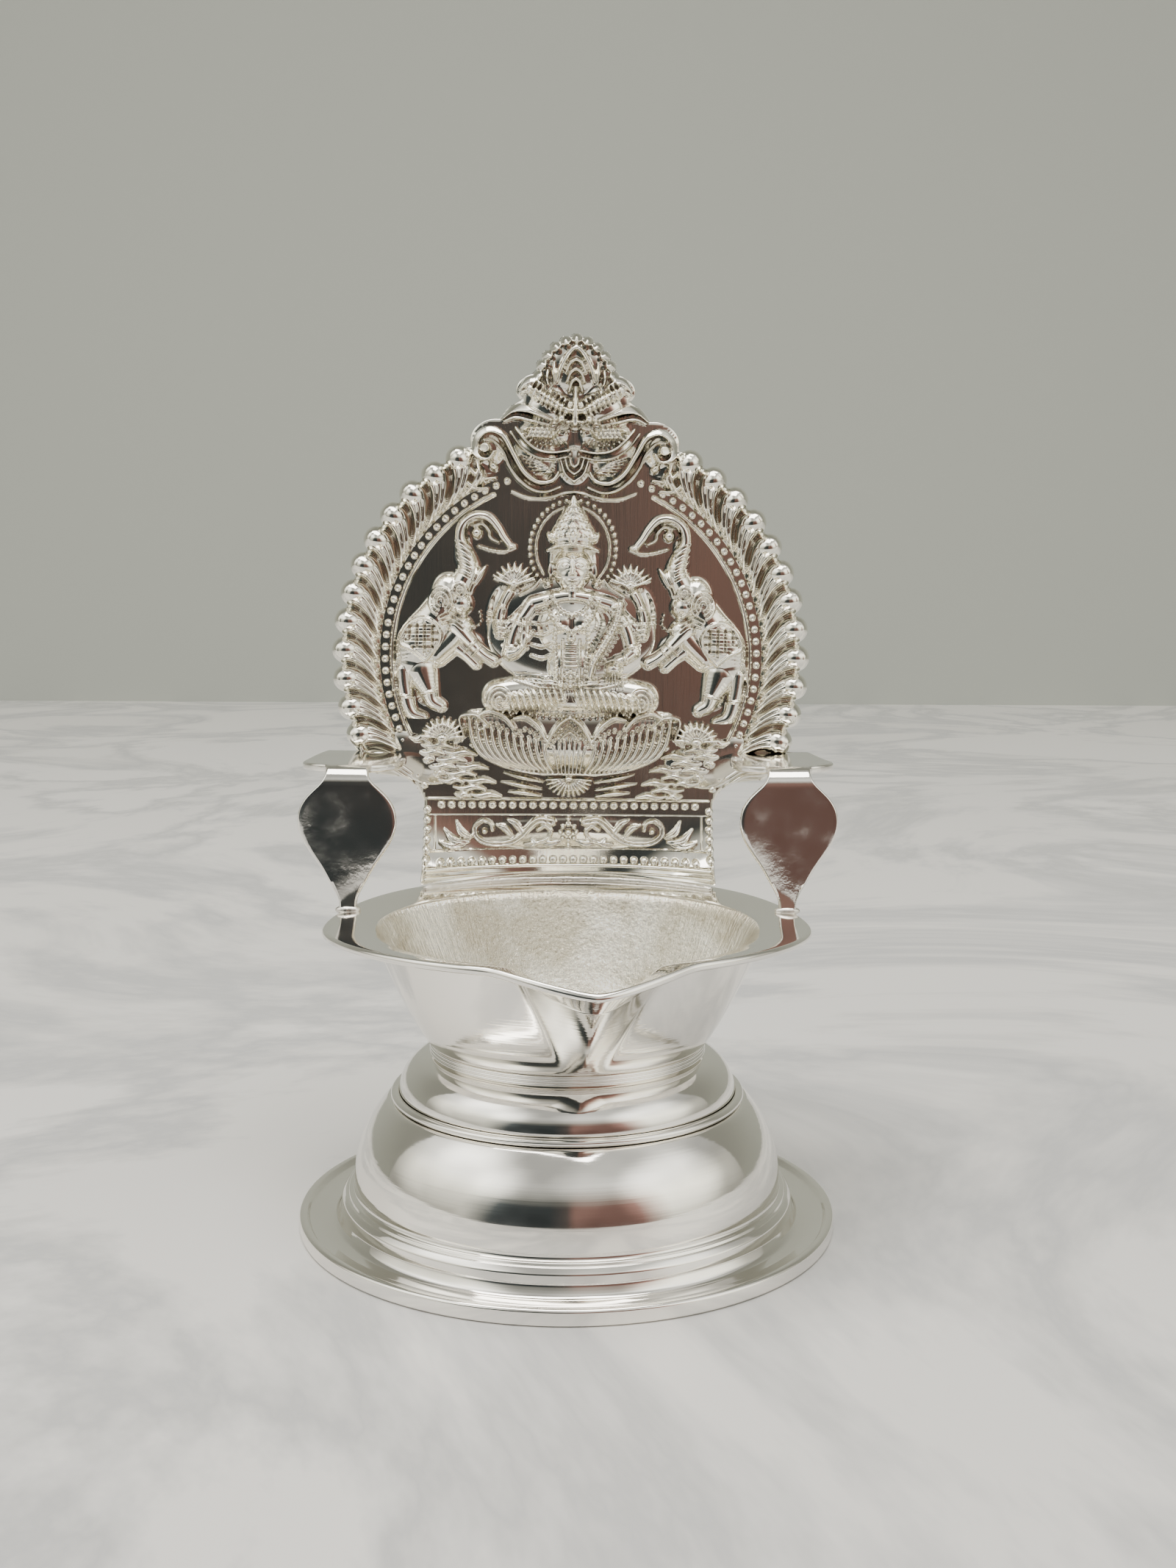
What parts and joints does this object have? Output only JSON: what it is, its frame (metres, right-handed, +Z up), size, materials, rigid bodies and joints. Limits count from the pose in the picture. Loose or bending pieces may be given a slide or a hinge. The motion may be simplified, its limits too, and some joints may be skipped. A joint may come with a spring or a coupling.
{
  "type": "aarti lamp",
  "caption": "Small silver altar lamp: stepped hollow pedestal, open oil bowl with a pouring spout, and an embossed arched back plate braced by two side straps.",
  "frame": {"origin": "centre of the pedestal's footprint, at the level it stands on", "axes": "+Z up, the spout points to -Y, the back plate stands at +Y, +X to the right of someone who faces the lamp"},
  "size_m": [0.0714, 0.068, 0.115],
  "materials": {
    "polished_silver": "polished",
    "satin_silver": "whitened satin",
    "stamped_silver": "stamped and polished",
    "silver_solder": "filed"
  },
  "bodies": {
    "root": {"base_shell": "polished_silver", "bead_ring": "polished_silver", "neck_shell": "polished_silver", "bowl_foot_ring": "polished_silver", "oil_bowl": "satin_silver", "back_plate": "stamped_silver", "left_side_strap": "polished_silver", "right_side_strap": "polished_silver", "plate_foot_solder": "silver_solder", "left_strap_foot_solder": "silver_solder", "right_strap_foot_solder": "silver_solder", "left_disc_solder": "silver_solder", "right_disc_solder": "silver_solder"}
  },
  "joints": []
}
